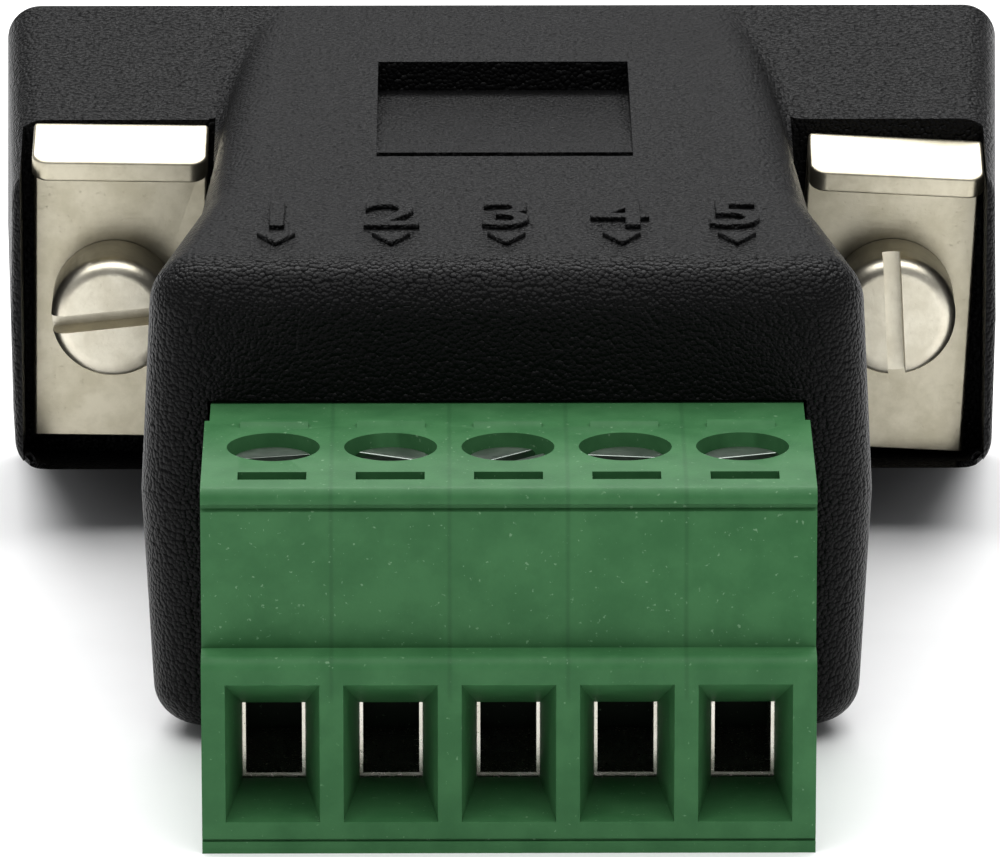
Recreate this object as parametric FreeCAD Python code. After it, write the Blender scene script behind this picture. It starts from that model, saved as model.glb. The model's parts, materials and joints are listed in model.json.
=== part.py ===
import FreeCAD, Part
import math
import os

# Compact serial port adapter. A nine-way D-shaped socket sits at the back (+Y) and a green
# five-pole pluggable screw terminal block at the front (-Y). All sizes are in millimetres.
# The origin is the middle of the footprint, on the surface the adapter lies on; +Z is up.

os.makedirs("parts", exist_ok=True)

# Driving dimensions
overall_length = 45.15
pole_count = 5
pole_pitch = 3.5
contact_pitch = 2.77
flange_half_height = 6.27
collar_wall = 1.17
ground_gap = 0.38

# Heights that follow from the socket's flange
body_half_height = flange_half_height + collar_wall
axis_height = ground_gap + body_half_height
top_z = axis_height + body_half_height
bottom_z = axis_height - body_half_height

# Positions along the adapter, measured back from the front face of the plug
plug_front = -overall_length / 2
body_front = plug_front + 9.5
kink_at = plug_front + 18.6
collar_front = plug_front + 28.5
collar_rear = plug_front + 39.7
flange_face = collar_rear - 0.5
socket_tip = flange_face + 5.95

# Green plug
plug_half = pole_count * pole_pitch / 2 + 0.35
plug_height = 11.0
ledge_height = 6.08
ledge_depth = 1.06
plug_rear = plug_front + 9.3
narrow_half = plug_half - 0.15
narrow_from = plug_front + 7.85
narrow_to = plug_front + 10.2
well_y = plug_front + 5.23
well_radius = 1.39
funnel_half = 1.40
funnel_low = 0.98
funnel_high = 5.27
funnel_depth = 2.9
window_half = 0.94
window_low = 1.37
window_high = 3.75
nose_half = plug_half - 0.85
nose_low = 3.9
nose_high = 7.7
nose_end = plug_front + 15.6

# D-shaped socket
row_offset = 1.42
shell_half_width = 2 * contact_pitch + 2.62
shell_half_height = row_offset + 2.53
foot_half_width = shell_half_width + 1.24
foot_half_height = shell_half_height + 0.90
jack_x = shell_half_width + 4.335
flange_half_width = jack_x + 2.905
plate_thickness = 0.45

# Black housing
wall = 1.1
floor_thickness = 1.1
body_half_front = plug_half + 2.36
body_half_kink = plug_half + 0.68
body_half_rear = body_half_kink - 1.08
body_draft = 0.36
body_top_radius = 1.6
body_floor_radius = 1.25
body_corner_radius = 1.7
collar_half_rear = flange_half_width + 0.84
collar_half_front = collar_half_rear - 0.52
collar_draft = 0.10
collar_front_half_height = body_half_height - 2.39
collar_edge_radius = 1.1
ear_blend = 0.9
ear_slope = (body_half_height - collar_front_half_height) / (collar_rear - collar_front)
ramp_half = 4.0
ramp_front = plug_front + 22.3
ramp_rear = plug_front + 32.8
ramp_depth = 0.95

# Clamp
slide_gap = 0.05
turn_gap = 0.05
cage_half = 1.30
cage_low = 1.15
cage_high = 6.60
cage_front = plug_front + funnel_depth + 0.13
cage_rear = cage_front + 4.1
cage_travel = 2.0
mouth_half = window_half - 0.10
mouth_low = window_low + 0.12
screw_head_radius = 1.31
screw_head_low = 9.4
screw_head_high = 10.62
screw_shank_radius = 0.95
bar_low = 4.5
bar_high = 5.1
pin_half = 0.5
pin_z = 5.7

# Header and board
header_half = plug_half - 0.30
header_front = plug_front + 10.3
header_rear = plug_front + 17.2
header_top = nose_high + 0.8
board_low = ground_gap + floor_thickness + 0.42
board_high = board_low + 1.2
board_front = plug_front + 11.0
board_rear = collar_rear - 6.3
leg_bottom = board_low - 0.35

# Jackscrews and their brackets
bracket_thickness = 0.7
bracket_inner = jack_x - 2.98
bracket_outer = jack_x + 2.60
bracket_play = 0.30
bracket_low = ground_gap + 2.58
bracket_lip = collar_front + 0.4
bracket_sunk = 0.15
plate_front = collar_front + 2.7
plate_back = plate_front + bracket_thickness
jack_radius = 1.42
jack_neck_radius = 1.15
jack_head_radius = 1.98
jack_head_length = 2.35
jack_tip = flange_face + 5.0
thread_start = flange_face + 0.55
web_front = plate_back + 1.1
web_rear = web_front + 1.5


def pole_positions():
    middle = (pole_count - 1) / 2
    return [(number - middle) * pole_pitch for number in range(pole_count)]


def block(x0, x1, y0, y1, z0, z1):
    return Part.makeBox(x1 - x0, y1 - y0, z1 - z0, FreeCAD.Vector(x0, y0, z0))


def rod_y(radius, x, z, y0, y1):
    start = FreeCAD.Vector(x, y0, z)
    rod = Part.makeCylinder(radius, y1 - y0, start, FreeCAD.Vector(0, 1, 0))
    rod.rotate(start, FreeCAD.Vector(0, 1, 0), 45)
    return rod


def rod_z(radius, x, y, z0, z1):
    start = FreeCAD.Vector(x, y, z0)
    return Part.makeCylinder(radius, z1 - z0, start, FreeCAD.Vector(0, 0, 1))


def closed_wire(points):
    corners = [FreeCAD.Vector(*point) for point in points]
    return Part.makePolygon(corners + [corners[0]])


def side_profile(points, x0, x1):
    # A closed outline in the Y-Z plane, carried across from x0 to x1
    face = Part.Face(closed_wire([(x0, y, z) for y, z in points]))
    return face.extrude(FreeCAD.Vector(x1 - x0, 0, 0))


def plan_prism(points, z0, z1):
    face = Part.Face(closed_wire([(x, y, z0) for x, y in points]))
    return face.extrude(FreeCAD.Vector(0, 0, z1 - z0))


def edges_where(shape, test):
    chosen = []
    for edge in shape.Edges:
        ends = [vertex.Point for vertex in edge.Vertexes]
        if len(ends) == 2 and test(ends[0], ends[1]):
            chosen.append(edge)
    return chosen


def near(a, b):
    return abs(a - b) < 0.02


def body_outline(inset, front, rear):
    # Plan of the waisted body, with its sides moved inwards by the inset
    front_slope = (body_half_front - body_half_kink) / (kink_at - body_front)
    rear_slope = (body_half_kink - body_half_rear) / (collar_rear - kink_at)
    at_front = body_half_front - inset - front_slope * (front - body_front)
    at_kink = body_half_kink - inset
    at_rear = body_half_kink - inset - rear_slope * (rear - kink_at)
    right = [(at_front, front), (at_kink, kink_at), (at_rear, rear)]
    left = [(-x, y) for x, y in reversed(right)]
    return right + left


def body_half(side):
    # Upper (side +1) or lower (side -1) half of the waisted body, drafted from the seam
    seam = [(x, y, axis_height) for x, y in body_outline(0, body_front, collar_rear)]
    end_z = axis_height + side * body_half_height
    outline = body_outline(body_draft, body_front + 0.1, collar_rear)
    end = [(x, y, end_z) for x, y in outline]
    solid = Part.makeLoft([closed_wire(seam), closed_wire(end)], True, True)

    def corner(a, b):
        upright = abs(a.z - b.z) > 5
        return upright and a.y < body_front + 1

    solid = solid.makeFillet(body_corner_radius, edges_where(solid, corner))

    def rim(a, b):
        on_end = near(a.z, end_z) and near(b.z, end_z)
        return on_end and not (near(a.y, collar_rear) and near(b.y, collar_rear))

    radius = body_top_radius if side > 0 else body_floor_radius
    return solid.makeFillet(radius, edges_where(solid, rim))


def collar_half(side):
    # Half of the wide collar round the socket; its ears taper towards the front
    rear_z = axis_height + side * body_half_height
    front_z = axis_height + side * collar_front_half_height
    wires = []
    for half, y, z in ((collar_half_rear, collar_rear, rear_z), (collar_half_front, collar_front, front_z)):
        end = half - collar_draft
        corners = [(-half, y, axis_height), (half, y, axis_height), (end, y, z), (-end, y, z)]
        wires.append(closed_wire(corners))
    solid = Part.makeLoft(wires, True, True)

    def long_corner(a, b):
        far_out = min(abs(a.x), abs(b.x)) > jack_x + 2
        off_seam = min(abs(a.z - axis_height), abs(b.z - axis_height)) > 2
        return far_out and off_seam and abs(a.y - b.y) > 5

    solid = solid.makeFillet(collar_edge_radius, edges_where(solid, long_corner))

    def front_rim(a, b):
        at_front = near(a.y, collar_front) and near(b.y, collar_front)
        on_seam = near(a.z, axis_height) and near(b.z, axis_height)
        return at_front and not on_seam

    return solid.makeFillet(0.45, edges_where(solid, front_rim))


def half_shape(side):
    # Body and collar in one, with a soft hollow where the body's flank runs into the ears
    shape = body_half(side).fuse(collar_half(side)).removeSplitter()

    def flank_line(a, b):
        same_side = a.x * b.x > 0
        on_body = max(abs(a.x), abs(b.x)) < body_half_kink
        behind_front = min(a.y, b.y) > collar_front + 0.2
        on_rear_face = near(a.y, collar_rear) and near(b.y, collar_rear)
        return same_side and on_body and behind_front and not on_rear_face

    return shape.makeFillet(ear_blend, edges_where(shape, flank_line))


def body_cavity(side):
    # Room inside for the board, the header and the back of the socket
    front = body_front + 1.4
    rear = collar_rear - 5.0
    seam = [(x, y, axis_height) for x, y in body_outline(wall, front, rear)]
    end_z = axis_height + side * (body_half_height - floor_thickness)
    outline = body_outline(wall + 0.5, front, rear)
    end = [(x, y, end_z) for x, y in outline]
    return Part.makeLoft([closed_wire(seam), closed_wire(end)], True, True)


def front_opening():
    # Window in the front wall that the plug and the header reach through
    half = narrow_half + 0.1
    low = board_high - slide_gap
    high = block(-half, half, body_front - 1, body_front + 1.5, low, plug_height + 0.1)
    half = header_half + slide_gap
    header_room = block(-half, half, body_front + 0.7, header_rear + 0.1, low, header_top + 0.1)
    return high.fuse(header_room)


def socket_room():
    # Groove that holds the socket's flange, the window behind it, and room for its back
    groove_front = flange_face - 1.0
    room = None
    for half, half_height, y0, y1 in (
            (flange_half_width + 0.05, flange_half_height + 0.05, groove_front, flange_face + 0.02),
            (flange_half_width - 0.5, flange_half_height - 0.47, groove_front, collar_rear + 1),
            (foot_half_width + 0.2, foot_half_height + 0.2, collar_rear - 5.1, groove_front + 0.1)):
        part = block(-half, half, y0, y1, axis_height - half_height, axis_height + half_height)
        room = part if room is None else room.fuse(part)
    return room


def jack_channel(side):
    x = side * jack_x
    wide = jack_radius + 0.08
    front = rod_y(wide, x, axis_height, plate_front, web_front)
    web = rod_y(jack_neck_radius + turn_gap, x, axis_height, web_front - 0.1, web_rear + 0.1)
    rear = rod_y(wide, x, axis_height, web_rear, flange_face)
    return front.fuse(web).fuse(rear)


def mirrored(shape):
    return shape.mirror(FreeCAD.Vector(0, 0, 0), FreeCAD.Vector(1, 0, 0))


def ear_top(y):
    # Height of the sloping upper face of the ears
    return axis_height + collar_front_half_height + ear_slope * (y - collar_front)


def bracket_pocket(side):
    # Pocket in the front of an ear, open at the top, where the bracket sits
    low = bracket_low - bracket_play - 0.2
    x0 = bracket_inner - bracket_play
    x1 = bracket_outer + bracket_play
    pocket = block(x0, x1, collar_front - 1, plate_back, low, top_z + 1)
    return pocket if side > 0 else mirrored(pocket)


def ramp_backing():
    # Thickens the roof under the finger ramp
    half = ramp_half + 0.9
    low = top_z - ramp_depth - 0.95
    return block(-half, half, ramp_front, ramp_rear + 1.2, low, top_z - floor_thickness + 0.1)


def seam_tongue(grow):
    # Upstanding tongue along both side walls that keeps the two halves in line
    outer_plan = body_outline(0.45 - grow, plug_front + 19.6, plug_front + 27.9)
    inner_plan = body_outline(0.95 + grow, plug_front + 19.0, plug_front + 28.5)
    outer = plan_prism(outer_plan, axis_height, axis_height + 0.8 + grow)
    return outer.cut(plan_prism(inner_plan, axis_height - 1, axis_height + 3))


def top_ramp():
    # Finger ramp in the top: a narrow groove at its front line, deepest at its back wall
    y0 = ramp_front
    y1 = ramp_rear
    floor = top_z - 0.02
    ramp = [(y0, floor), (y1, top_z - ramp_depth), (y1, top_z + 1), (y0, top_z + 1)]
    groove = [(y0 - 0.5, top_z - 0.24), (y0, top_z - 0.24), (y0, top_z + 1), (y0 - 0.5, top_z + 1)]
    return side_profile(ramp, -ramp_half, ramp_half).fuse(side_profile(groove, -ramp_half, ramp_half))


def hollowed(shape, side):
    # Takes the rooms for the board, header, plug and socket out of one half of the housing
    return shape.cut(body_cavity(side)).cut(front_opening()).cut(socket_room())


def upper_shell():
    shape = half_shape(1)
    for side in (-1, 1):
        shape = shape.cut(bracket_pocket(side))
    shape = hollowed(shape, 1).fuse(ramp_backing()).cut(top_ramp()).cut(seam_tongue(slide_gap))
    for side in (-1, 1):
        post = rod_z(0.9, side * 6.3, plug_front + 21.0, board_high + slide_gap, top_z - 0.6)
        shape = shape.fuse(post)
    shape = shape.removeSplitter()
    for side in (-1, 1):
        shape = shape.cut(jack_channel(side))
    return shape


def lower_shell():
    shape = half_shape(-1)
    for side in (-1, 1):
        shape = shape.cut(bracket_pocket(side))
    shape = hollowed(shape, -1)
    for side in (-1, 1):
        x = side * 6.6
        rail = block(x - 0.5, x + 0.5, plug_front + 19.8, plug_front + 32, bottom_z + 0.6, board_low)
        shape = shape.fuse(rail)
    rib = block(-7.6, 7.6, plug_front + 12.2, plug_front + 13.6, bottom_z + 0.6, board_low)
    shape = shape.fuse(rib).fuse(seam_tongue(0)).removeSplitter()
    for side in (-1, 1):
        shape = shape.cut(jack_channel(side))
    return shape


def plug_side_view():
    # Outline of the plug seen from the side: ledge, groove under the top edge, flat back
    f = plug_front
    step = f + ledge_depth
    return [(f, 0), (f, 0.36), (f + 0.1, 0.38), (f + 0.1, 0.44), (f, 0.46), (f, ledge_height),
            (step, ledge_height), (step, 10.30), (step + 0.12, 10.38), (step + 0.12, 10.48),
            (step - 0.08, 10.56), (step - 0.08, plug_height), (plug_rear, plug_height), (plug_rear, 0)]


def upright_wire(x, y, half, low, high):
    return closed_wire([(x - half, y, low), (x + half, y, low), (x + half, y, high), (x - half, y, high)])


def funnel(x):
    # Tapers from the plug's front face down to the window; it starts a little in front of the face
    share = 0.5 / funnel_depth
    half = funnel_half + share * (funnel_half - window_half)
    low = funnel_low - share * (window_low - funnel_low)
    high = funnel_high + share * (funnel_high - window_high)
    mouth = upright_wire(x, plug_front - 0.5, half, low, high)
    window = upright_wire(x, plug_front + funnel_depth, window_half, window_low, window_high)
    return Part.makeLoft([mouth, window], True, True)


def pole_rooms(x):
    # Hollows of one pole: wire funnel, clamp chamber, screw well and contact passage
    half = cage_half + slide_gap
    high = cage_high + cage_travel + slide_gap
    chamber = block(x - half, x + half, cage_front - 0.13, cage_rear + 0.1, cage_low - slide_gap, high)
    hole = rod_z(screw_shank_radius + 0.1, x, well_y, cage_high, screw_head_low)
    well = rod_z(well_radius, x, well_y, screw_head_low - turn_gap, plug_height + 1)
    passage = block(x - 0.8, x + 0.8, cage_rear, plug_front + 8.8, bar_low - 0.05, bar_high + 0.05)
    nest = block(x - 0.9, x + 0.9, plug_front + 8.6, nose_end + 1, bar_low - 0.05, 6.6)
    slot = block(x - 1.02, x + 1.02, plug_front + 2.03, plug_front + 2.77, plug_height - 1.3, plug_height + 1)
    rooms = funnel(x)
    for room in (chamber, hole, well, passage, nest, slot):
        rooms = rooms.fuse(room)
    return rooms


def plug_housing():
    shape = side_profile(plug_side_view(), -plug_half, plug_half)

    def ledge_edge(a, b):
        on_ledge = near(a.y, plug_front) and near(b.y, plug_front)
        return on_ledge and near(a.z, ledge_height) and near(b.z, ledge_height)

    shape = shape.makeFillet(0.4, edges_where(shape, ledge_edge))

    def top_edge(a, b):
        at_step = near(a.y, plug_front + ledge_depth - 0.08) and near(b.y, plug_front + ledge_depth - 0.08)
        return at_step and near(a.z, plug_height) and near(b.z, plug_height)

    shape = shape.makeFillet(0.35, edges_where(shape, top_edge))
    for side in (-1, 1):
        x0 = min(side * narrow_half, side * (plug_half + 1))
        x1 = max(side * narrow_half, side * (plug_half + 1))
        shape = shape.cut(block(x0, x1, narrow_from, plug_rear + 1, 8.65, plug_height + 1))
    back = block(-narrow_half, narrow_half, plug_rear - 0.5, narrow_to, 8.65, plug_height)
    nose = block(-nose_half, nose_half, plug_rear - 0.5, nose_end, nose_low, nose_high)
    shape = shape.fuse(back).fuse(nose)
    for x in pole_positions():
        shape = shape.cut(pole_rooms(x))
        crest = plug_height + 0.14
        ridge = [(plug_front + 7.1, plug_height - 0.1), (plug_front + 7.1, plug_height),
                 (plug_front + 7.3, crest), (plug_front + 7.5, crest), (plug_front + 7.5, plug_height - 0.1)]
        shape = shape.fuse(side_profile(ridge, x - 1.02, x + 1.02))
    return shape.removeSplitter()


def clamp_cage(x):
    # Rising cage: a square tube whose thick top carries the thread of the clamp screw
    shape = block(x - cage_half, x + cage_half, cage_front, cage_rear, cage_low, cage_high)

    def long_edge(a, b):
        return abs(a.y - b.y) > 2

    shape = shape.makeFillet(0.25, edges_where(shape, long_edge))
    mouth = block(x - mouth_half, x + mouth_half, cage_front - 1, cage_rear + 1, mouth_low, bar_high + 0.2)
    thread = rod_z(screw_shank_radius + turn_gap, x, well_y, cage_low + 2, cage_high + 1)
    return shape.cut(mouth).cut(thread)


def clamp_screw(x, slot_angle):
    head = rod_z(screw_head_radius, x, well_y, screw_head_low, screw_head_high)
    head = head.makeChamfer(0.12, edges_of_circle(head, screw_head_high))
    shank = rod_z(screw_shank_radius, x, well_y, bar_high + 0.1, screw_head_low + 0.1)
    shank = shank.makeChamfer(0.2, edges_of_circle(shank, bar_high + 0.1))
    slot = block(x - 2, x + 2, well_y - 0.24, well_y + 0.24, screw_head_high - 0.55, screw_head_high + 1)
    slot.rotate(FreeCAD.Vector(x, well_y, 0), FreeCAD.Vector(0, 0, 1), slot_angle)
    return head.fuse(shank).cut(slot).removeSplitter()


def edges_of_circle(shape, z):
    return [edge for edge in shape.Edges if near(edge.BoundBox.ZMin, z) and near(edge.BoundBox.ZMax, z)]


def plug_contact(x):
    # Flat bar inside the cage, widening at the back into a box that grips the header pin
    bar = block(x - 0.75, x + 0.75, plug_front + 3.6, plug_front + 8.9, bar_low, bar_high)
    box = block(x - 0.85, x + 0.85, plug_front + 8.7, plug_front + 15.3, bar_low, 6.55)
    inside = block(x - 0.6, x + 0.6, plug_front + 8.0, plug_front + 16, bar_high, 6.3)
    return bar.fuse(box.cut(inside)).removeSplitter()


def header_housing():
    shape = block(-header_half, header_half, header_front, header_rear, board_high, header_top)
    half = nose_half + slide_gap
    mouth = block(-half, half, header_front - 1, nose_end + 0.3, nose_low - slide_gap, nose_high + slide_gap)
    shape = shape.cut(mouth)
    for x in pole_positions():
        shape = shape.cut(block(x - 0.52, x + 0.52, plug_front + 15, header_rear + 1, pin_z - 0.52, pin_z + 0.52))
    return shape


def header_pin(x):
    tip = plug_front + 10.9
    bend = header_rear + 1.2
    flat = block(x - pin_half, x + pin_half, tip, bend, pin_z - pin_half, pin_z + pin_half)

    def tip_edge(a, b):
        return near(a.y, tip) and near(b.y, tip)

    flat = flat.makeChamfer(0.2, edges_where(flat, tip_edge))
    leg = block(x - pin_half, x + pin_half, bend - 1.0, bend, leg_bottom, pin_z)
    return flat.fuse(leg).removeSplitter()


def contact_places():
    wide = [((number - 2) * contact_pitch, row_offset, board_rear - 3.0) for number in range(5)]
    narrow = [((number - 1.5) * contact_pitch, -row_offset, board_rear - 1.2) for number in range(4)]
    return wide + narrow


def circuit_board():
    half_front = 7.9
    half_rear = 7.0
    points = [(half_front, board_front), (half_front, kink_at), (half_rear, board_rear)]
    points = points + [(-x, y) for x, y in reversed(points)]
    shape = plan_prism(points, board_low, board_high)
    for x in pole_positions():
        shape = shape.cut(rod_z(0.73, x, header_rear + 0.7, 0, 5))
    for x, offset, bend in contact_places():
        shape = shape.cut(rod_z(0.4, x, bend, 0, 5))
    return shape


def chip(x, y, length, lead_count):
    # Surface-mount package with leads on its two long sides
    bottom = board_high + 0.1
    body = block(x - length / 2, x + length / 2, y - 1.95, y + 1.95, bottom, bottom + 1.45)
    for number in range(lead_count):
        place = x + (number - (lead_count - 1) / 2) * 1.27
        for side in (-1, 1):
            near_y = y + side * 1.9
            far_y = y + side * 3.0
            y0 = min(near_y, far_y)
            y1 = max(near_y, far_y)
            body = body.fuse(block(place - 0.2, place + 0.2, y0, y1, board_high, board_high + 0.25))
    return body


def small_parts():
    # Chip capacitors and resistors beside the two circuits
    places = [(-4.4, 19.7), (-1.5, 19.7), (1.5, 19.7), (4.4, 19.7), (-2.6, 28.4), (2.6, 28.4)]
    parts = [block(x - 1.0, x + 1.0, plug_front + y - 0.6, plug_front + y + 0.6, board_high, board_high + 0.7)
             for x, y in places]
    return Part.makeCompound(parts)


def bracket_side_view():
    # Outline seen from the side: upright plate and a lip that slopes as the ear does
    t = bracket_thickness
    lip_top = ear_top(bracket_lip) - bracket_sunk
    back_top = ear_top(plate_back) - bracket_sunk
    inner_top = ear_top(plate_front) - bracket_sunk - t
    return [(bracket_lip, lip_top - t), (bracket_lip, lip_top), (plate_back, back_top),
            (plate_back, bracket_low), (plate_front, bracket_low), (plate_front, inner_top)]


def jack_bracket(side, lift, turn):
    # Bent metal angle that the jackscrew's head bears on; it hangs loosely on the screw, so it
    # sits a little high or low in its pocket and a little turned
    shape = side_profile(bracket_side_view(), bracket_inner, bracket_outer)

    def outer_bend(a, b):
        return min(a.z, b.z) > axis_height and near(a.y, plate_back) and near(b.y, plate_back) and abs(a.x - b.x) > 1

    shape = shape.makeFillet(0.5, edges_where(shape, outer_bend))

    def inner_bend(a, b):
        return min(a.z, b.z) > axis_height and near(a.y, plate_front) and near(b.y, plate_front) and abs(a.x - b.x) > 1

    shape = shape.makeFillet(0.2, edges_where(shape, inner_bend))

    def lip_corner(a, b):
        at_lip = a.y < bracket_lip + 0.1 and b.y < bracket_lip + 0.1
        return at_lip and abs(a.z - b.z) > 0.5

    shape = shape.makeFillet(0.55, edges_where(shape, lip_corner))

    def lip_edge(a, b):
        at_lip = a.y < bracket_lip + 0.7 and b.y < bracket_lip + 0.7
        return at_lip and (abs(a.x - b.x) > 1 or abs(a.y - b.y) > 0.3)

    shape = shape.makeFillet(0.12, edges_where(shape, lip_edge))
    centre = FreeCAD.Vector(jack_x, 0, axis_height)
    shape = shape.cut(rod_y(jack_neck_radius + bracket_play + 0.1, centre.x, centre.z, plate_front - 1, plate_back + 1))
    if side < 0:
        shape = mirrored(shape)
        centre.x = -jack_x
    shape.translate(FreeCAD.Vector(0, 0, lift))
    shape.rotate(centre, FreeCAD.Vector(0, 1, 0), turn)
    return shape


def jackscrew(side, slot_angle):
    # Captive screw: slotted head, thin neck held by the housing, threaded end
    x = side * jack_x
    back_of_head = plate_front - turn_gap
    front = back_of_head - jack_head_length
    head = rod_y(jack_head_radius, x, axis_height, front, back_of_head)
    rim = [edge for edge in head.Edges if near(edge.BoundBox.YMin, front) and near(edge.BoundBox.YMax, front)]
    head = head.makeFillet(0.55, rim)
    slot = block(x - 3, x + 3, front - 1, front + 0.95, axis_height - 0.28, axis_height + 0.28)
    slot.rotate(FreeCAD.Vector(x, 0, axis_height), FreeCAD.Vector(0, 1, 0), slot_angle)
    neck = rod_y(jack_neck_radius, x, axis_height, back_of_head - 0.1, thread_start + 0.1)
    thread = rod_y(jack_radius, x, axis_height, thread_start, jack_tip)
    end = [edge for edge in thread.Edges if near(edge.BoundBox.YMin, jack_tip) and near(edge.BoundBox.YMax, jack_tip)]
    thread = thread.makeChamfer(0.4, end)
    return head.cut(slot).fuse(neck).fuse(thread).removeSplitter()


def d_wire(half_width, half_height, y):
    # D outline: wide side up, both ends leaning inwards by ten degrees
    lean = half_height * math.tan(math.radians(10))
    top = axis_height + half_height
    low = axis_height - half_height
    narrow = half_width - 2 * lean
    return closed_wire([(-half_width, y, top), (half_width, y, top), (narrow, y, low), (-narrow, y, low)])


def d_prism(half_width, half_height, radius, y0, y1):
    solid = Part.Face(d_wire(half_width, half_height, y0)).extrude(FreeCAD.Vector(0, y1 - y0, 0))

    def corner(a, b):
        return abs(a.y - b.y) > 0.1

    return solid.makeFillet(radius, edges_where(solid, corner))


def flange_plate(y0, y1):
    low = axis_height - flange_half_height
    high = axis_height + flange_half_height
    plate = block(-flange_half_width, flange_half_width, y0, y1, low, high)

    def corner(a, b):
        return abs(a.y - b.y) > 0.1

    plate = plate.makeFillet(1.5, edges_where(plate, corner))
    for side in (-1, 1):
        plate = plate.cut(rod_y(jack_radius + 0.13, side * jack_x, axis_height, y0 - 1, y1 + 1))
    return plate


def socket_shell():
    # Front flange with the D-shaped collar that the mating plug slides over
    plate = flange_plate(flange_face - plate_thickness, flange_face)
    tube = d_prism(shell_half_width, shell_half_height, 2.3, flange_face - 0.2, socket_tip)
    bore = d_prism(shell_half_width - 0.4, shell_half_height - 0.4, 1.9, flange_face - 2, socket_tip + 1)
    return plate.fuse(tube).cut(bore).removeSplitter()


def socket_back_shell():
    plate = flange_plate(flange_face - 2 * plate_thickness - 0.05, flange_face - plate_thickness)
    half = foot_half_width + 0.1
    half_height = foot_half_height + 0.1
    room = block(-half, half, flange_face - 3, flange_face, axis_height - half_height, axis_height + half_height)
    return plate.cut(room)


def insulator_foot(y0, y1):
    low = axis_height - foot_half_height
    return block(-foot_half_width, foot_half_width, y0, y1, low, axis_height + foot_half_height)


def socket_front_insulator():
    face = socket_tip - 0.25
    tongue = d_prism(shell_half_width - 0.45, shell_half_height - 0.45, 1.85, flange_face - plate_thickness, face)
    shape = tongue.fuse(insulator_foot(flange_face - 1.9, flange_face - plate_thickness))
    for x, offset, bend in contact_places():
        z = axis_height + offset
        shape = shape.cut(rod_y(0.86, x, z, flange_face - 3, face - 0.7))
        shape = shape.cut(rod_y(0.58, x, z, face - 1, face + 1))
        mouth = Part.makeCone(0.58, 0.83, 0.25, FreeCAD.Vector(x, face - 0.25, z), FreeCAD.Vector(0, 1, 0))
        shape = shape.cut(mouth)
    return shape.removeSplitter()


def socket_back_insulator():
    shape = insulator_foot(collar_rear - 4.8, flange_face - 1.9)
    for x, offset, bend in contact_places():
        z = axis_height + offset
        shape = shape.cut(rod_y(0.86, x, z, collar_rear - 3.6, flange_face))
        shape = shape.cut(rod_y(0.4, x, z, collar_rear - 6, collar_rear - 3.5))
    return shape


def socket_contact(x, offset, bend):
    # Turned female contact: bored barrel, and a tail bent down through the board
    z = axis_height + offset
    tip = socket_tip - 0.25 - 0.75
    barrel = rod_y(0.8, x, z, collar_rear - 3.55, tip)
    barrel = barrel.cut(rod_y(0.53, x, z, tip - 5.5, tip + 1))
    tail = rod_y(0.35, x, z, bend, collar_rear - 3.4)
    corner = Part.makeSphere(0.35, FreeCAD.Vector(x, bend, z))
    leg = rod_z(0.35, x, bend, leg_bottom, z)
    return barrel.fuse(tail).fuse(corner).fuse(leg).removeSplitter()


def save(name, shape):
    shape.exportStep("parts/" + name + ".step")
    box = shape.BoundBox
    size = "%.2f x %.2f x %.2f" % (box.XLength, box.YLength, box.ZLength)
    print(name, "solids", len(shape.Solids), "valid", shape.isValid(), "size", size)


save("upper_shell", upper_shell())
save("lower_shell", lower_shell())
save("circuit_board", circuit_board())
save("line_driver_chip", chip(-3.3, plug_front + 24.0, 4.9, 4))
save("level_shifter_chip", chip(3.3, plug_front + 24.0, 4.9, 4))
save("small_parts", small_parts())
save("plug_housing", plug_housing())
save("header_housing", header_housing())
slot_angles = [12, -25, 40, -8, 18]
for index, pole_x in enumerate(pole_positions()):
    number = str(index + 1)
    save("clamp_cage_" + number, clamp_cage(pole_x))
    save("clamp_screw_" + number, clamp_screw(pole_x, slot_angles[index]))
    save("plug_contact_" + number, plug_contact(pole_x))
    save("header_pin_" + number, header_pin(pole_x))
for index, place in enumerate(contact_places()):
    save("socket_contact_" + str(index + 1), socket_contact(*place))
save("socket_shell", socket_shell())
save("socket_back_shell", socket_back_shell())
save("socket_front_insulator", socket_front_insulator())
save("socket_back_insulator", socket_back_insulator())
save("jack_bracket_left", jack_bracket(-1, bracket_play * 0.8, 0.8))
save("jack_bracket_right", jack_bracket(1, -bracket_play * 0.8, 3.0))
save("jackscrew_left", jackscrew(-1, -6))
save("jackscrew_right", jackscrew(1, 87))
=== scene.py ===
# %% [markdown]
# A small black serial adapter with a green pluggable terminal block. The exact solids come
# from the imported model. This script dresses them: finishes, threads, marks, light and camera.
# Everything is in metres, with +Y towards the D-shaped socket and +Z up.

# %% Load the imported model
import json
import math

import bmesh
import bpy
import numpy as np
from mathutils import Matrix, Vector


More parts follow.
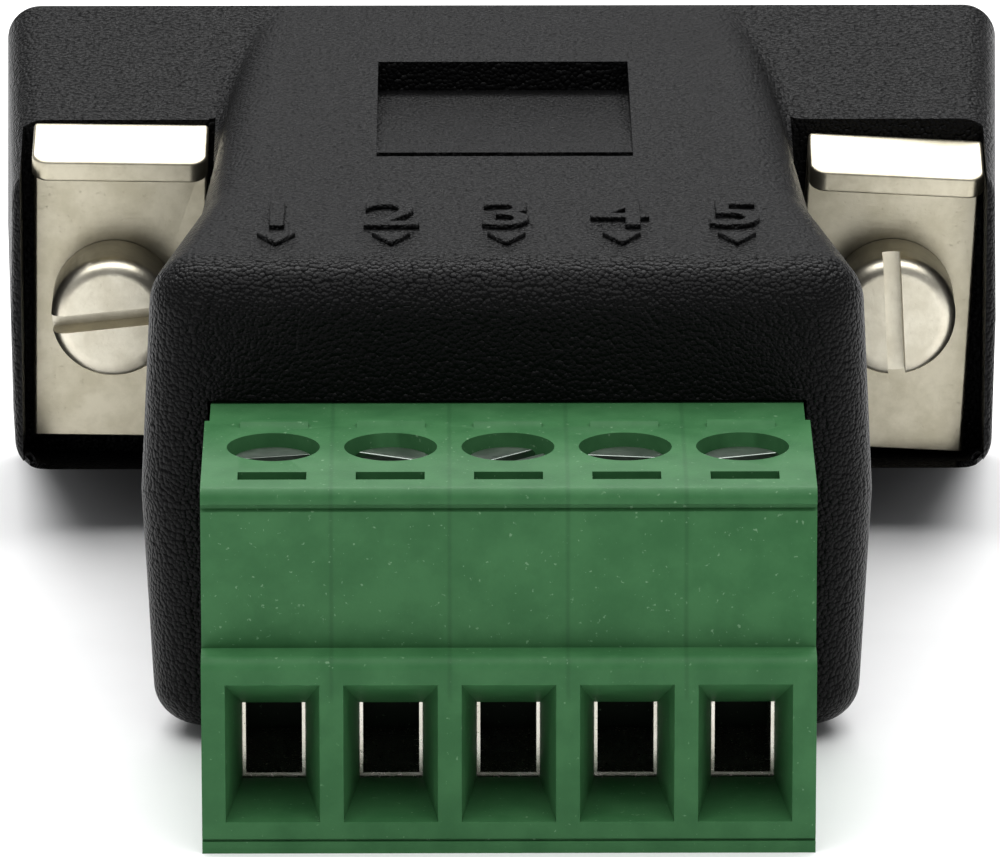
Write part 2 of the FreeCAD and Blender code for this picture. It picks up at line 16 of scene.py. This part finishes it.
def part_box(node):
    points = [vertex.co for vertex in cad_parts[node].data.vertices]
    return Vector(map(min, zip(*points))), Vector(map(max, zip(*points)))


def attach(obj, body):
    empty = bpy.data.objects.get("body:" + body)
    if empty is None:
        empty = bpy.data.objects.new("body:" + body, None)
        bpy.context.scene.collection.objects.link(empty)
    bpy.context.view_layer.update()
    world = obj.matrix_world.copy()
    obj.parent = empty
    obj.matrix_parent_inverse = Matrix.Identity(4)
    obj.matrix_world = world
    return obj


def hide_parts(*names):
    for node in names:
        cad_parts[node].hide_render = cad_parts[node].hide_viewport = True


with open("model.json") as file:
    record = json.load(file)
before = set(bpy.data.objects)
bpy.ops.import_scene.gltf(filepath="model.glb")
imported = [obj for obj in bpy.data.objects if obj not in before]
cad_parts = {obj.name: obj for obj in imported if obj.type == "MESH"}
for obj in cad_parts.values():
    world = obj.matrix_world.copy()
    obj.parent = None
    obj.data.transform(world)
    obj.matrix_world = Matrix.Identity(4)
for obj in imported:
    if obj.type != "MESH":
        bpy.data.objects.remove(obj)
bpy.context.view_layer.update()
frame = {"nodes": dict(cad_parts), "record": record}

# %% [markdown]
# The real adapter is about 45 mm long, so most sizes are easier to read in millimetres. The
# front face of the plug is the line that lengths are measured from, as on the drawing.

# %% Sizes that the pieces share
MM = 0.001
plug_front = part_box("plug_housing")[0].y
top_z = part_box("upper_shell")[1].z
pole_x = [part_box("clamp_screw_%d" % k)[0].x / 2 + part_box("clamp_screw_%d" % k)[1].x / 2
          for k in range(1, 6)]
pole_pitch = 3.5 * MM
print("plug front", round(plug_front / MM, 3), "top", round(top_z / MM, 3))

# %% [markdown]
# The camera looks at the plug from a little above. Its height and distance were worked out from
# the spacing of the poles and of the jackscrews: it stands about a third of a metre away, and a
# long lens keeps the ears nearly as large as the plug. The small shift is the photo's framing.

# %% Camera
camera_place = Vector((-1.857, plug_front / MM - 308.441, 109.970)) * MM
elevation = math.radians(17.498)
yaw = math.radians(0.329)
forward = Vector((math.sin(yaw) * math.cos(elevation), math.cos(yaw) * math.cos(elevation),
                  -math.sin(elevation)))
right = forward.cross(Vector((0, 0, 1))).normalized()
upward = right.cross(forward)
lens = bpy.data.cameras.new("camera")
lens.sensor_width = 36
lens.lens = 396.94
lens.shift_x = -0.00607
lens.shift_y = 0.01557
lens.clip_start = 0.01
camera = bpy.data.objects.new("camera", lens)
bpy.context.scene.collection.objects.link(camera)
camera.matrix_world = Matrix((
    (right.x, upward.x, -forward.x, camera_place.x),
    (right.y, upward.y, -forward.y, camera_place.y),
    (right.z, upward.z, -forward.z, camera_place.z),
    (0, 0, 0, 1)))
bpy.context.scene.camera = camera
print("camera elevation", round(math.degrees(elevation), 2), "lens", lens.lens)

# %% [markdown]
# Shader maths reads best as ordinary arithmetic. One small class wraps a socket, and each
# operator adds a Math node, also when the number comes first, as in 1 - mask. Every other node
# comes from one method that sets its settings first and then its values or links.

# %% Shader helpers
class Signal:
    """An output socket that ordinary arithmetic works on."""

    def __init__(self, finish, socket):
        self.finish = finish
        self.socket = socket

    def _math(self, operation, first, second=0.0):
        return self.finish.node("ShaderNodeMath", {"operation": operation}, {0: first, 1: second})

    def __add__(self, other):
        return self._math("ADD", self, other)

    def __radd__(self, other):
        return self._math("ADD", other, self)

    def __sub__(self, other):
        return self._math("SUBTRACT", self, other)

    def __rsub__(self, other):
        return self._math("SUBTRACT", other, self)

    def __mul__(self, other):
        return self._math("MULTIPLY", self, other)

    def __rmul__(self, other):
        return self._math("MULTIPLY", other, self)

    def __truediv__(self, other):
        return self._math("DIVIDE", self, other)

    def ramp(self, low, high):
        """0 below low, 1 above high, smooth between."""
        return self.finish.node(
            "ShaderNodeMapRange", {"interpolation_type": "SMOOTHSTEP"},
            {"Value": self, "From Min": low, "From Max": high})


class Finish:
    """A material's nodes around one Principled shader."""

    def __init__(self, name):
        self.material = bpy.data.materials.new(name)
        self.material.use_nodes = True
        self.tree = self.material.node_tree
        self.tree.nodes.clear()
        self.place = self.node("ShaderNodeTexCoord", out="Object")

    def node(self, kind, settings=None, inputs=None, out=0):
        made = self.tree.nodes.new(kind)
        for name, value in (settings or {}).items():
            setattr(made, name, value)
        for name, value in (inputs or {}).items():
            if isinstance(value, Signal):
                self.tree.links.new(value.socket, made.inputs[name])
            else:
                made.inputs[name].default_value = value
        return Signal(self, made.outputs[out])

    def noise(self, size_mm, detail=2.0, rough=0.5, stretch=(1, 1, 1)):
        """Soft cloud whose blobs are about size_mm across."""
        place = self.place
        if stretch != (1, 1, 1):
            place = self.node("ShaderNodeMapping", None, {"Vector": place, "Scale": stretch})
        return self.node("ShaderNodeTexNoise", None,
                         {"Vector": place, "Scale": 1000.0 / size_mm, "Detail": detail,
                          "Roughness": rough})

    def cells(self, size_mm):
        """Distance to the nearest of points that lie about size_mm apart."""
        return self.node("ShaderNodeTexVoronoi", {"feature": "F1"},
                         {"Vector": self.place, "Scale": 1000.0 / size_mm}, "Distance")

    def axis(self, name):
        return self.node("ShaderNodeSeparateXYZ", None, {"Vector": self.place}, name)

    def blend(self, amount, first, second):
        return self.node("ShaderNodeMix", {"data_type": "RGBA"},
                         {0: amount, 6: first, 7: second}, 2)

    def bump(self, height, depth_mm, strength=1.0):
        return self.node("ShaderNodeBump", None,
                         {"Height": height, "Distance": depth_mm * MM, "Strength": strength})

    def shade(self, **inputs):
        names = {name.replace("_", " "): value for name, value in inputs.items()}
        return self.end(self.node("ShaderNodeBsdfPrincipled", None, names, "BSDF"))

    def end(self, shader):
        output = self.tree.nodes.new("ShaderNodeOutputMaterial")
        self.tree.links.new(shader.socket, output.inputs["Surface"])
        return self.material


def paint(red, green, blue):
    """sRGB 0..255 to the linear colour that a shader wants."""
    values = np.array((red, green, blue)) / 255.0
    linear = np.where(values <= 0.04045, values / 12.92, ((values + 0.055) / 1.055) ** 2.4)
    return (*linear.tolist(), 1.0)


# %% [markdown]
# The housing is black plastic from a spark-eroded mould. The spark leaves a fine pebble
# texture that breaks the light into small glints, an eighth of a millimetre or so across. Round
# cells make the pebbles, a finer noise roughens them, and a slow cloud lets the gloss drift.

# %% Black housing plastic
def housing_plastic():
    f = Finish("housing_black")
    pebble = f.cells(0.13)
    grain = f.noise(0.06, 2.0, 0.5)
    drift = f.noise(5.0, 3.0)
    height = pebble * pebble * -1.2 + grain * 0.35
    colour = f.blend(drift, paint(8, 8, 9), paint(12, 12, 12))
    gloss = 0.27 + drift * 0.1 + grain * 0.06
    normal = f.bump(height, 0.055)
    return f.shade(Base_Color=colour, Roughness=gloss, Normal=normal, Specular_IOR_Level=0.08)


# %% [markdown]
# The terminal block is green polyamide with a satin gloss. Moulding leaves a faint cloudiness,
# very fine flow marks and a little dust, so the colour is never quite even. A faint line stands
# between two poles, where the blocks of the mould met. The rooms behind the clamps get painted
# shade, since so little light gets there: a mask on the X, Y and Z of the plug finds them and
# darkens their green nearly to black.

# %% Green terminal plastic
def terminal_plastic():
    f = Finish("terminal_green")
    cloud = f.noise(1.4, 4.0, 0.6)
    speck = f.noise(0.09, 2.0, 0.5)
    flow = f.noise(0.8, 3.0, 0.6, (1, 1, 0.15))
    dust = f.noise(0.16, 2.0, 0.5).ramp(0.68, 0.76)
    body = f.blend(cloud.ramp(0.3, 0.7), paint(52, 100, 60), paint(62, 111, 69))
    side = f.node("ShaderNodeMath", {"operation": "ABSOLUTE"}, {0: f.axis("X")})
    height = f.axis("Z")
    depth = f.axis("Y") - plug_front

    across = f.axis("X") / pole_pitch
    seam = f.node("ShaderNodeMath", {"operation": "PINGPONG"}, {0: across + 0.5, 1: 0.5})
    line = (1 - seam.ramp(0.004, 0.03)) * height.ramp(4.6 * MM, 5.0 * MM)
    line = line * (1 - side.ramp(8.2 * MM, 8.4 * MM))
    body = f.blend(line * 0.35, body, paint(40, 80, 48))

    # Painted shade: the rooms behind the clamps, where little light gets, are darkened nearly to
    # black in the colour itself.
    room = depth.ramp(3.1 * MM, 4.2 * MM) * (1 - depth.ramp(8.0 * MM, 8.2 * MM))
    room = room * height.ramp(0.6 * MM, 0.8 * MM) * (1 - height.ramp(4.4 * MM, 4.6 * MM))
    room = room * (1 - side.ramp(8.5 * MM, 8.7 * MM))
    body = f.blend(room * 0.9, body, paint(6, 8, 6))
    colour = f.blend(dust * 0.35, body, paint(150, 186, 150))
    gloss = 0.4 + cloud * 0.12 + speck * 0.06
    normal = f.bump(speck * 0.5 + flow * 0.6, 0.014, 0.6)
    return f.shade(Base_Color=colour, Roughness=gloss, Normal=normal, Specular_IOR_Level=0.15)


# %% [markdown]
# Plated sheet and turned screws share one recipe: a bright metal whose gloss changes with
# handling marks, with fine lines along the way it was rolled or turned.

# %% Metals
def plated_metal(name, colour_low, colour_high, rough, stretch, depth_mm=0.006):
    f = Finish(name)
    cloud = f.noise(1.2, 4.0, 0.65)
    lines = f.noise(0.12, 3.0, 0.6, stretch)
    pits = f.noise(0.1, 2.0, 0.5).ramp(0.62, 0.75)
    colour = f.blend(cloud.ramp(0.3, 0.7), colour_low, colour_high)
    gloss = rough + cloud * 0.1 + pits * 0.12
    normal = f.bump(lines + pits * -0.4, depth_mm, 0.5)
    return f.shade(Base_Color=colour, Metallic=1.0, Roughness=gloss, Normal=normal)


# %% [markdown]
# The parts inside and at the back: board with its solder mask, moulded chips, ceramic parts,
# gold and tinned contacts, and the matt black insulator of the socket.

# %% Board, chips and contacts
def board_mask():
    f = Finish("board_green")
    weave = f.node("ShaderNodeTexChecker", None, {"Vector": f.place, "Scale": 1500.0}, "Fac")
    cloud = f.noise(3.0, 3.0)
    colour = f.blend(cloud, paint(22, 84, 46), paint(30, 104, 58))
    normal = f.bump(weave * 0.3 + cloud, 0.01, 0.4)
    return f.shade(Base_Color=colour, Roughness=0.3 + cloud * 0.1, Normal=normal)


def moulded(name, low, high, rough, grain_mm, depth_mm):
    f = Finish(name)
    grain = f.noise(grain_mm, 3.0, 0.6)
    drift = f.noise(2.5, 2.0)
    colour = f.blend(drift, low, high)
    normal = f.bump(grain, depth_mm, 0.5)
    return f.shade(Base_Color=colour, Roughness=rough + drift * 0.12, Normal=normal)


finishes = {
    "housing_black": housing_plastic(),
    "terminal_green": terminal_plastic(),
    "board_green": board_mask(),
    "chip_black": moulded("chip_black", paint(24, 24, 25), paint(32, 32, 33), 0.5, 0.08, 0.01),
    "ceramic_tan": moulded("ceramic_tan", paint(170, 138, 98), paint(186, 156, 116), 0.4, 0.1,
                           0.01),
    "insulator_black": moulded("insulator_black", paint(14, 14, 15), paint(22, 22, 23), 0.45,
                               0.15, 0.01),
    "tinned_contact": plated_metal("tinned_contact", paint(196, 194, 186), paint(222, 220, 212),
                                   0.25, (1, 0.1, 1)),
    "cage_metal": plated_metal("cage_metal", paint(206, 202, 188), paint(232, 229, 218), 0.2,
                               (1, 0.1, 1)),
    "screw_metal": plated_metal("screw_metal", paint(138, 148, 141), paint(166, 174, 167), 0.25,
                                (1, 1, 0.2)),
    "gold_contact": plated_metal("gold_contact", paint(212, 168, 88), paint(236, 196, 112),
                                 0.22, (1, 0.1, 1)),
    "socket_plate": plated_metal("socket_plate", paint(168, 165, 154), paint(188, 185, 174),
                                 0.36, (0.1, 1, 1)),
    "bracket_nickel": plated_metal("bracket_nickel", paint(184, 177, 155), paint(208, 201, 180),
                                   0.3, (0.2, 1, 1)),
    "jackscrew_nickel": plated_metal("jackscrew_nickel", paint(204, 197, 178),
                                     paint(228, 222, 204), 0.28, (1, 0.15, 1)),
}
slots = {part["node"]: part["material_slot"] for part in frame["record"]["subparts"]}
for node_name, node in frame["nodes"].items():
    node.data.materials.clear()
    node.data.materials.append(finishes[slots[node_name]])
print("finishes", len(finishes))

# %% [markdown]
# The solids come as loose triangles with knife-sharp edges. Moulded and bent pieces have small
# rounded edges that catch the light, so these nodes are copied, their points merged, the flat
# faces joined again, and a Bevel of a few hundredths of a millimetre finishes them. The copy
# stands for the node, which stays in the frame.

# %% Rounded copies of the sharp solids
def joined_mesh(node_name):
    """The node's mesh with its doubled points merged and its flat faces made whole."""
    work = bmesh.new()
    work.from_mesh(frame["nodes"][node_name].data)
    bmesh.ops.remove_doubles(work, verts=work.verts, dist=0.0005 * MM)
    bmesh.ops.dissolve_limit(work, angle_limit=math.radians(0.6), verts=work.verts,
                             edges=work.edges)
    bmesh.ops.recalc_face_normals(work, faces=work.faces)
    return work


def place_piece(name, mesh, body, slot_name, replaced=()):
    piece = bpy.data.objects.new(name, mesh)
    bpy.context.scene.collection.objects.link(piece)
    mesh.materials.clear()
    mesh.materials.append(finishes[slot_name])
    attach(piece, body)
    if replaced:
        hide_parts(*replaced)
    return piece


def round_edges(piece, width_mm, angle_deg):
    """Two-step Bevel on each edge whose faces turn by more than angle_deg."""
    bevel = piece.modifiers.new("rounded edges", "BEVEL")
    bevel.width = width_mm * MM
    bevel.segments = 2
    bevel.limit_method = "ANGLE"
    bevel.angle_limit = math.radians(angle_deg)
    bevel.harden_normals = True


def rounded_copy(node_name, body, width_mm):
    work = joined_mesh(node_name)
    mesh = bpy.data.meshes.new(node_name + "_rounded")
    work.to_mesh(mesh)
    work.free()
    mesh.shade_smooth()
    mesh.set_sharp_from_angle(angle=math.radians(30))
    piece = place_piece(node_name + "_rounded", mesh, body, slots[node_name], [node_name])
    round_edges(piece, width_mm, 35)
    print(node_name, "faces", len(mesh.polygons))


rounded_copy("plug_housing", "plug", 0.09)
for side in ("left", "right"):
    rounded_copy("jack_bracket_" + side, "housing", 0.05)
for k in range(1, 6):
    rounded_copy("clamp_screw_%d" % k, "clamp_screw_%d" % k, 0.06)

# %% [markdown]
# Each jackscrew is turned from one rod: a slotted head, a thin neck that the housing holds, and
# a thread that reaches out past the socket. The head and neck are right in the solid, so a
# copy keeps them and is cut off where the thread starts. The thread could be a bump, but its
# outline shows from the back, so it is a real ridge wound round a core.

# %% Jackscrew threads
thread_pitch = 0.635 * MM
thread_crest = 1.42 * MM
thread_root = 1.06 * MM
thread_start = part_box("socket_shell")[0].y + 1.0 * MM


def thread_points(centre_x, centre_z, start, end):
    """Radius by height and angle: root plus a trapezoid ridge whose phase climbs one pitch a
    turn, faded in over one pitch and cut by a cone at the tip."""
    rows = int((end - start) / thread_pitch * 16)
    along = np.linspace(start, end, rows)[:, None]
    angle = np.linspace(0, 2 * np.pi, 48, endpoint=False)[None, :]
    phase = np.mod((along - start) / thread_pitch + angle / (2 * np.pi), 1.0)
    ridge = np.clip((1 - np.abs(2 * phase - 1) - 0.12) / 0.7, 0, 1)
    fade = np.clip((along - start) / thread_pitch, 0, 1)
    radius = thread_root + (thread_crest - thread_root) * ridge * fade
    radius = np.minimum(radius, thread_root - 0.1 * MM + (end - along))
    return np.stack([centre_x + radius * np.cos(angle), along + 0 * angle,
                     centre_z + radius * np.sin(angle)], axis=-1)


def turned_mesh(name, points, first_pole, last_pole):
    """Rings joined by quads that wrap round, and a fan of triangles to a pole at each end."""
    rows, columns = points.shape[:2]
    ring, place = np.meshgrid(np.arange(rows - 1), np.arange(columns), indexing="ij")
    after = (place + 1) % columns
    quads = np.stack([ring * columns + place, ring * columns + after,
                      (ring + 1) * columns + after, (ring + 1) * columns + place], axis=-1)
    here = np.arange(columns)
    there = (here + 1) % columns
    first = rows * columns
    fan = np.stack([there, here, np.full(columns, first)], axis=-1)
    last_ring = (rows - 1) * columns
    fan_end = np.stack([here + last_ring, there + last_ring, np.full(columns, first + 1)], axis=-1)
    vertices = np.concatenate([points.reshape(-1, 3), [first_pole, last_pole]])
    faces = quads.reshape(-1, 4).tolist() + fan.tolist() + fan_end.tolist()
    mesh = bpy.data.meshes.new(name)
    mesh.from_pydata(vertices.tolist(), [], faces)
    work = bmesh.new()
    work.from_mesh(mesh)
    bmesh.ops.recalc_face_normals(work, faces=work.faces)
    work.to_mesh(mesh)
    work.free()
    mesh.shade_smooth()
    mesh.set_sharp_from_angle(angle=math.radians(38))
    return mesh


def head_and_neck(node_name):
    """The solid's head and neck, cut square where the thread starts and closed there."""
    work = joined_mesh(node_name)
    everything = work.verts[:] + work.edges[:] + work.faces[:]
    cut = bmesh.ops.bisect_plane(work, geom=everything, plane_co=(0, thread_start + 0.1 * MM, 0),
                                 plane_no=(0, 1, 0), clear_outer=True)
    rim = [item for item in cut["geom_cut"] if isinstance(item, bmesh.types.BMEdge)]
    bmesh.ops.holes_fill(work, edges=rim)
    bmesh.ops.recalc_face_normals(work, faces=work.faces)
    mesh = bpy.data.meshes.new(node_name + "_head")
    work.to_mesh(mesh)
    work.free()
    mesh.shade_smooth()
    mesh.set_sharp_from_angle(angle=math.radians(30))
    return mesh


for side in ("left", "right"):
    body = "jackscrew_" + side
    low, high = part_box(body)
    centre = (low + high) / 2
    head = place_piece(body + "_head", head_and_neck(body), body, "jackscrew_nickel", [body])
    round_edges(head, 0.05, 40)
    ridge = thread_points(centre.x, centre.z, thread_start, high.y)
    thread = turned_mesh(body + "_thread", ridge, (centre.x, thread_start, centre.z),
                         (centre.x, high.y, centre.z))
    place_piece(body + "_thread", thread, body, "jackscrew_nickel")
    print(body, "thread", round((high.y - thread_start) / MM, 2), "mm,", len(thread.polygons),
          "faces")

# %% [markdown]
# The pocket in each ear cuts through the ear's rounded lower corner near the front. A thin
# curved wall closes it, bent along the same arc as the corner and a hair inside it, so that the
# two surfaces don't flicker. Its front edge sweeps from the flank back to the pocket's floor.

# %% Lower corners of the ears
ear_front = plug_front + 28.5 * MM
ear_half = 15.72 * MM
ear_spread = 0.0464
ear_under = 2.77 * MM
ear_fall = 0.2134
corner_radius = 1.1 * MM
rim_radius = 0.45 * MM


def corner_points(side):
    """Arc of the ear's corner from 30 to 90 degrees below level, carried rearwards: the ear's
    half-width grows and its underside falls with Y, and the front rim is drawn in by a fillet."""
    rows, steps = 24, 20
    turn = np.radians(np.linspace(30, 90, steps))
    thick = np.full(steps, 0.2 * MM)
    turn = np.concatenate([turn, turn[::-1]])
    inward = np.concatenate([0 * thick, thick])
    swept = np.clip((turn - math.radians(46)) / math.radians(44), 0, 1)
    first = ear_front + 0.12 * MM + 1.4 * MM * swept
    share = np.linspace(0, 1, rows)[:, None]
    along = first + (ear_front + 2.8 * MM - first) * share
    beyond = along - ear_front
    near_rim = np.clip(rim_radius - beyond, 0, None)
    drawn_in = rim_radius - np.sqrt(rim_radius ** 2 - near_rim ** 2)
    radius = corner_radius - 0.02 * MM - drawn_in - inward
    centre_x = ear_half + ear_spread * beyond - 0.09 * MM - corner_radius
    centre_z = ear_under - ear_fall * beyond + corner_radius
    return np.stack([side * (centre_x + radius * np.cos(turn)), along,
                     centre_z - radius * np.sin(turn)], axis=-1)


for name, side in (("left", -1), ("right", 1)):
    points = corner_points(side)
    wall = turned_mesh("corner_wall_" + name, points, points[0].mean(axis=0),
                       points[-1].mean(axis=0))
    place_piece("corner_wall_" + name, wall, "housing", "housing_black")
    print("corner wall", name, len(wall.polygons), "faces")

# %% [markdown]
# Raised marks on the roof tell which clamp is which. They are moulded with the roof, so they
# are black on black and only their edges show. Plain numbers from 1 to 5 stand in line with
# the clamps, each with a small pointer. A text curve gives the digits, made a mesh at once so
# that its place can be in its points.

# %% Raised numbers
mark_height = 0.1 * MM
mark_front = plug_front + 11.7 * MM


def raised_mesh(name, curve):
    """A flat curve, given thickness, turned into a mesh with its doubled points merged."""
    curve.extrude = mark_height / 2 + 0.05 * MM
    curve.bevel_depth = 0.05 * MM
    curve.bevel_resolution = 1
    holder = bpy.data.objects.new(name, curve)
    bpy.context.scene.collection.objects.link(holder)
    shape = holder.evaluated_get(bpy.context.evaluated_depsgraph_get())
    mesh = bpy.data.meshes.new_from_object(shape)
    bpy.data.objects.remove(holder)
    work = bmesh.new()
    work.from_mesh(mesh)
    bmesh.ops.remove_doubles(work, verts=work.verts, dist=0.001 * MM)
    bmesh.ops.recalc_face_normals(work, faces=work.faces)
    work.to_mesh(mesh)
    work.free()
    return mesh


def number_mesh(number):
    text = bpy.data.curves.new("number_%d" % number, "FONT")
    text.body = str(number)
    text.size = 3.7 * MM
    text.align_x = "CENTER"
    return raised_mesh(text.name, text)


def pointer_mesh():
    line = bpy.data.curves.new("pointer", "CURVE")
    line.dimensions = "2D"
    line.fill_mode = "BOTH"
    spline = line.splines.new("POLY")
    spline.points.add(2)
    corners = ((-0.5 * MM, 0), (0.5 * MM, 0), (0, -0.9 * MM))
    for point, (x, y) in zip(spline.points, corners):
        point.co = (x, y, 0, 1)
    spline.use_cyclic_u = True
    return raised_mesh("pointer", line)


roof = top_z + mark_height / 2 - 0.05 * MM
for number, x in enumerate(pole_x, 1):
    digit = number_mesh(number)
    digit.transform(Matrix.Translation((x, mark_front + 2.1 * MM, roof)))
    place_piece("mark_number_%d" % number, digit, "housing", "housing_black")
    arrow = pointer_mesh()
    arrow.transform(Matrix.Translation((x, mark_front + 1.2 * MM, roof)))
    place_piece("mark_pointer_%d" % number, arrow, "housing", "housing_black")
print("marks", 2 * len(pole_x))

# %% [markdown]
# The stage is a pale table with one wide soft light above and a smaller one behind. Little
# light comes from the front, so the front of the black housing stays dark. The light behind
# skims over the top and whitens the sloping lips of the brackets. The table's own colour is
# the background, so nothing has to tell the camera's rays from the others.

# %% Floor, light and background
bpy.context.scene.view_settings.view_transform = "Standard"


def floor_cloth():
    """Matt white paper. Its own colour makes the pale background, and it keeps the shadow."""
    f = Finish("floor_white")
    fibre = f.noise(2.0, 2.0)
    colour = f.blend(fibre, paint(249, 249, 249), paint(252, 252, 252))
    return f.end(f.node("ShaderNodeBsdfDiffuse", None, {"Color": colour}, "BSDF"))


def sheet_of_floor(half):
    mesh = bpy.data.meshes.new("floor")
    mesh.from_pydata([(-half, -half, 0), (half, -half, 0), (half, half, 0), (-half, half, 0)], [],
                     [(0, 1, 2, 3)])
    floor = bpy.data.objects.new("floor", mesh)
    bpy.context.scene.collection.objects.link(floor)
    mesh.materials.append(floor_cloth())


def soft_light(name, place_mm, aim_mm, size_mm, watts):
    light = bpy.data.lights.new(name, "AREA")
    light.shape = "RECTANGLE"
    light.size = size_mm[0] * MM
    light.size_y = size_mm[1] * MM
    light.energy = watts
    lamp = bpy.data.objects.new(name, light)
    bpy.context.scene.collection.objects.link(lamp)
    place = Vector(place_mm) * MM
    aim = Vector(aim_mm) * MM - place
    lamp.rotation_euler = aim.to_track_quat("-Z", "Y").to_euler()
    lamp.location = place
    print(name, "light", watts, "W")


floor_half = 3.0
sheet_of_floor(floor_half)
print("floor", 2 * floor_half, "m across")
soft_light("overhead", (0, -20, 420), (0, 0, 0), (700, 560), 3.2)
soft_light("rear", (0, 300, 290), (0, 0, 5), (420, 160), 1.05)

world = bpy.data.worlds.new("surroundings")
bpy.context.scene.world = world
world.use_nodes = True
sky = world.node_tree
sky.nodes.clear()
room = sky.nodes.new("ShaderNodeBackground")
room.inputs["Color"].default_value = (0.97, 0.98, 1.0, 1)
room.inputs["Strength"].default_value = 0.28
end = sky.nodes.new("ShaderNodeOutputWorld")
sky.links.new(room.outputs[0], end.inputs["Surface"])
